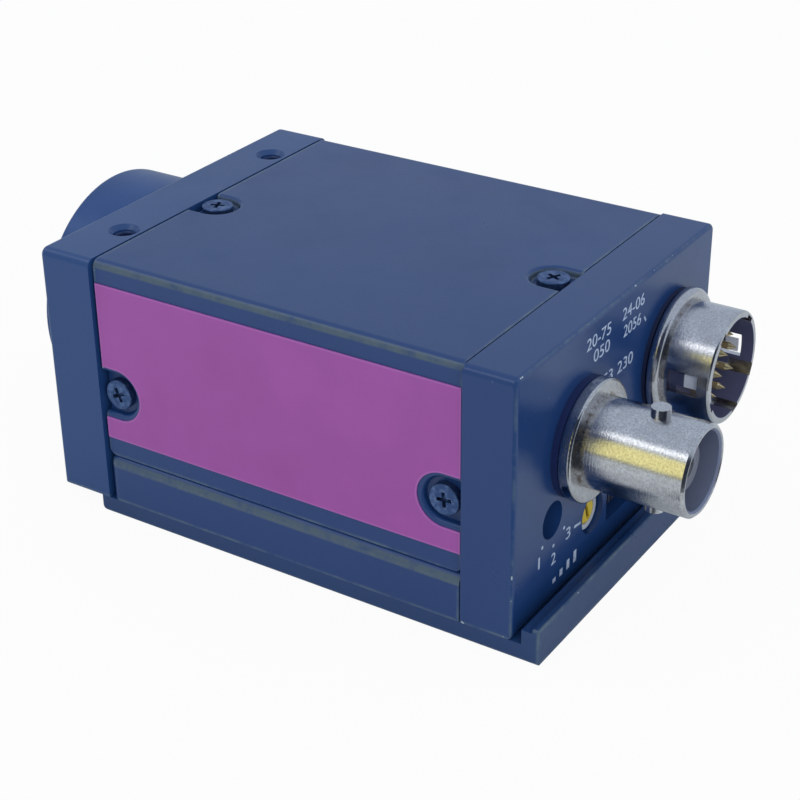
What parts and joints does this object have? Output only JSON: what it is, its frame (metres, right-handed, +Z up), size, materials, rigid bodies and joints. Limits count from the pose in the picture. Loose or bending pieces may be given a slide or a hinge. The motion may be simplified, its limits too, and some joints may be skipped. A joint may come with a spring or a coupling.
{
  "type": "machine vision camera",
  "caption": "Block-shaped machine vision camera with a threaded lens mount, coaxial and multi-pin rear connectors, recessed gain controls and a base plate.",
  "frame": {"origin": "middle of the base plate's underside", "axes": "+Z up, -Y the way the lens looks, +Y towards the connectors, +X the labelled side"},
  "size_m": [0.044, 0.0804, 0.031],
  "materials": {
    "housing_paint": "satin dark blue-black paint on cast and drawn aluminium",
    "dark_steel": "blackened",
    "black_plastic": "moulded",
    "zinc_steel": "plated",
    "gold_contact": "gold plated",
    "white_insulator": "moulded",
    "nickel": "nickel plated brass",
    "filter_glass": "polished",
    "mount_black": "black anodised",
    "board_green": "solder mask",
    "silicon": "polished",
    "ceramic": "matte",
    "label_film": "magenta printed film",
    "pale_plastic": "moulded",
    "yellow_plastic": "moulded"
  },
  "bodies": {
    "camera": {"base_plate": "housing_paint", "base_plate_screws": "dark_steel", "board_headers": "black_plastic", "board_screws": "zinc_steel", "capacitors": "zinc_steel", "coax_bush": "black_plastic", "coax_contact": "gold_contact", "coax_dielectric": "white_insulator", "coax_nut": "nickel", "coax_shell": "nickel", "crystal_can": "zinc_steel", "filter_glass": "filter_glass", "filter_holder": "mount_black", "filter_retainer": "dark_steel", "front_block": "housing_paint", "gain_switch_body": "black_plastic", "left_side_screws": "dark_steel", "lens_mount_ring": "mount_black", "lower_pillars": "zinc_steel", "lower_tray": "housing_paint", "main_board": "board_green", "multipin_gasket": "black_plastic", "multipin_insert": "black_plastic", "multipin_latch_ring": "nickel", "multipin_nut": "nickel", "multipin_pins": "gold_contact", "multipin_shell": "nickel", "power_coil": "black_plastic", "processor_chips": "black_plastic", "rear_block": "housing_paint", "rear_board": "board_green", "rear_board_posts": "zinc_steel", "rear_board_screws": "zinc_steel", "right_side_screws": "dark_steel", "sensor_board": "board_green", "sensor_board_screws": "zinc_steel", "sensor_die": "silicon", "sensor_package": "ceramic", "sensor_posts": "zinc_steel", "sensor_socket": "black_plastic", "sensor_window": "filter_glass", "side_label": "label_film", "sync_switch_body": "black_plastic", "top_cover": "housing_paint", "top_screws": "dark_steel", "trimmer_body": "white_insulator", "upper_board": "board_green", "upper_chips": "black_plastic", "upper_pillars": "zinc_steel"},
    "gain_selector": {"gain_selector": "black_plastic"},
    "trimmer_rotor": {"trimmer_rotor": "yellow_plastic"},
    "sync_switch_slider": {"sync_switch_slider": "pale_plastic"}
  },
  "joints": [
    {"name": "gain_select", "type": "hinge", "parent": "camera", "child": "gain_selector", "pos_m": [0.014, 0.023, 0.0118], "axis": [0, 1, 0], "range_deg": [-45, 45]},
    {"name": "trimmer_turn", "type": "hinge", "parent": "camera", "child": "trimmer_rotor", "pos_m": [0.005, 0.02435, 0.0079], "axis": [0, 1, 0], "range_deg": [-130, 130]},
    {"name": "sync_slide", "type": "slide", "parent": "camera", "child": "sync_switch_slider", "axis": [-1, 0, 0], "range_m": [0, 0.002]}
  ]
}
